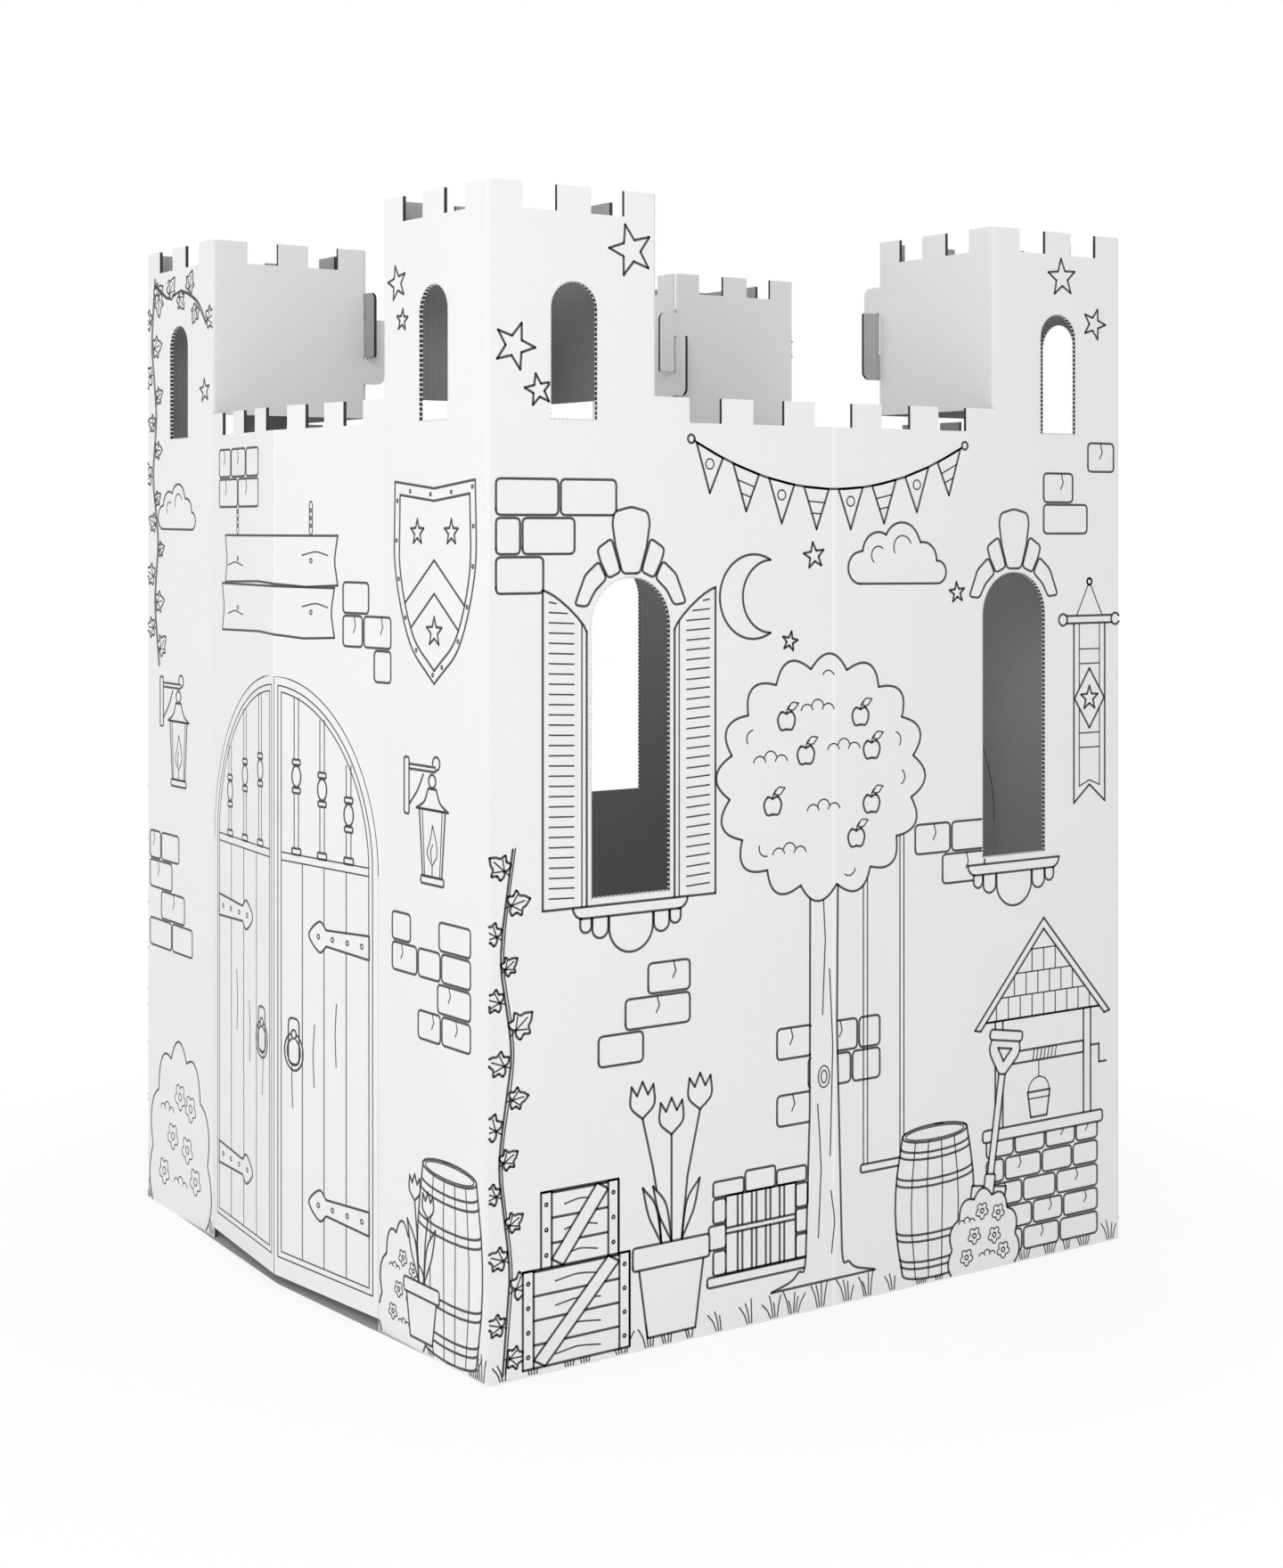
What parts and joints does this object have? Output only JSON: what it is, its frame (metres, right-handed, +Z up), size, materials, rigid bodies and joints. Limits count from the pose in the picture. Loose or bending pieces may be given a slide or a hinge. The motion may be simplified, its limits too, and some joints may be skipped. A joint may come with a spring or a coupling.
{
  "type": "cardboard play castle",
  "caption": "Folded white corrugated-board play castle with battlements, corner towers closed by hooked flaps, round-headed windows and arched double doors.",
  "frame": {"origin": "on the floor at the middle of the footprint's bounding box", "axes": "+Z up, -Y out through the front doors, +X to the right seen from the front"},
  "size_m": [0.85, 0.928, 1.22],
  "materials": {
    "white_board": "matt white liner outside with dark grey line print, grey liner inside, cut fluted edges"
  },
  "bodies": {
    "shell": {"castle_shell": "white_board"},
    "front_leaf_left": {"front_door_left": "white_board"},
    "front_leaf_right": {"front_door_right": "white_board"},
    "back_leaf_left": {"back_door_left": "white_board"},
    "back_leaf_right": {"back_door_right": "white_board"}
  },
  "joints": [
    {"name": "front_left_swing", "type": "hinge", "parent": "shell", "child": "front_leaf_left", "pos_m": [-0.208, -0.44185, 0.25], "axis": [0, 0, -1], "range_deg": [0, 120]},
    {"name": "front_right_swing", "type": "hinge", "parent": "shell", "child": "front_leaf_right", "pos_m": [0.208, -0.44185, 0.25], "axis": [0, 0, 1], "range_deg": [0, 120]},
    {"name": "back_left_swing", "type": "hinge", "parent": "shell", "child": "back_leaf_left", "pos_m": [0.208, 0.464, 0.25], "axis": [0, 0, -1], "range_deg": [0, 120]},
    {"name": "back_right_swing", "type": "hinge", "parent": "shell", "child": "back_leaf_right", "pos_m": [-0.208, 0.464, 0.25], "axis": [0, 0, 1], "range_deg": [0, 120]}
  ]
}
